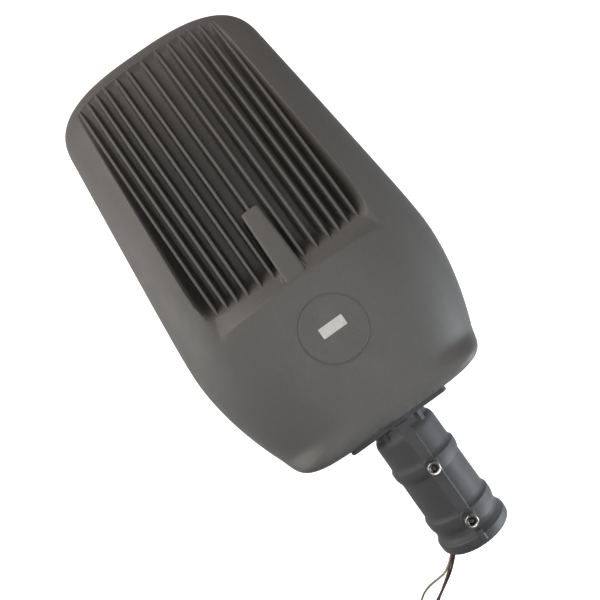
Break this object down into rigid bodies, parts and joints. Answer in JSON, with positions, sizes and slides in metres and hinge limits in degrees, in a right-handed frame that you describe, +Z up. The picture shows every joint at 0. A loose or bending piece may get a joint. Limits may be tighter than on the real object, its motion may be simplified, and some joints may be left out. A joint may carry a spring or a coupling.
{
  "type": "street light",
  "caption": "Flat street light head: finned cast housing, pole spigot with clamp screws, glazed LED compartment and a hinged driver-bay door.",
  "frame": {"origin": "on the axis of the pole socket, in the plane of its mouth", "axes": "+Y from the socket's mouth towards the nose of the housing, +Z up through the cooling fins, +X to the right seen from above with the nose up; x = 0 is the plane of symmetry"},
  "size_m": [0.3078, 0.7552, 0.1986],
  "materials": {
    "cast_housing": "powder-coated, fine texture, semi-matt",
    "cast_spigot": "powder-coated, fine texture, semi-matt",
    "gasket_rubber": "matt",
    "stainless": "bright",
    "label_film": "satin paper film",
    "board_white": "white solder mask",
    "phosphor": "matt",
    "clear_lens": "clear polycarbonate",
    "tray_white": "white gloss sheet",
    "glass": "toughened, clear",
    "frame_paint": "powder-coated",
    "driver_case": "extruded, natural",
    "surge_case": "moulded",
    "terminal_plastic": "moulded nylon",
    "black_nylon": "moulded nylon",
    "brass": "bright",
    "sheath_black": "smooth",
    "core_brown_pvc": "smooth",
    "core_blue_pvc": "smooth",
    "core_green_pvc": "smooth",
    "lead_white": "smooth",
    "door_paint": "powder-coated",
    "copper": "bare strands"
  },
  "bodies": {
    "lamp": {"housing": "cast_housing", "spigot": "cast_spigot", "flange_gasket": "gasket_rubber", "flange_bolts": "stainless", "blank_label": "label_film", "led_board": "board_white", "led_chips": "phosphor", "lens_plates": "clear_lens", "reflector_tray": "tray_white", "module_screws": "stainless", "glass_gasket": "gasket_rubber", "glass_pane": "glass", "glass_frame": "frame_paint", "frame_screws": "stainless", "led_driver": "driver_case", "surge_protector": "surge_case", "terminal_block": "terminal_plastic", "cable_clamp": "black_nylon", "bay_screws": "stainless", "earth_screw": "brass", "cable_gland": "black_nylon", "gland_nut": "black_nylon", "supply_cable": "sheath_black", "duct_grommet": "gasket_rubber", "leads_live": "core_brown_pvc", "leads_neutral": "core_blue_pvc", "leads_earth": "core_green_pvc", "led_lead": "lead_white", "hinge_pins": "stainless", "core_brown": "core_brown_pvc", "core_blue": "core_blue_pvc", "core_earth": "core_green_pvc", "core_ends": "copper"},
    "clamp_screw_inner": {"clamp_screw_inner": "stainless"},
    "clamp_screw_outer": {"clamp_screw_outer": "stainless"},
    "door": {"driver_door": "door_paint", "door_gasket": "gasket_rubber", "breather_vent": "black_nylon"},
    "door_screw_left": {"door_screw_left": "stainless"},
    "door_screw_right": {"door_screw_right": "stainless"}
  },
  "joints": [
    {"name": "clamp_inner_travel", "type": "slide", "parent": "lamp", "child": "clamp_screw_inner", "axis": [0, 0, -1], "range_m": [-0.004, 0.0035]},
    {"name": "clamp_outer_travel", "type": "slide", "parent": "lamp", "child": "clamp_screw_outer", "axis": [0, 0, -1], "range_m": [-0.004, 0.0035]},
    {"name": "door_hinge", "type": "hinge", "parent": "lamp", "child": "door", "pos_m": [0, 0.3121, -0.041], "axis": [1, 0, 0], "range_deg": [0, 90]},
    {"name": "door_screw_left_travel", "type": "slide", "parent": "door", "child": "door_screw_left", "axis": [0, 0, -1], "range_m": [0, 0.008]},
    {"name": "door_screw_right_travel", "type": "slide", "parent": "door", "child": "door_screw_right", "axis": [0, 0, -1], "range_m": [0, 0.008]}
  ]
}
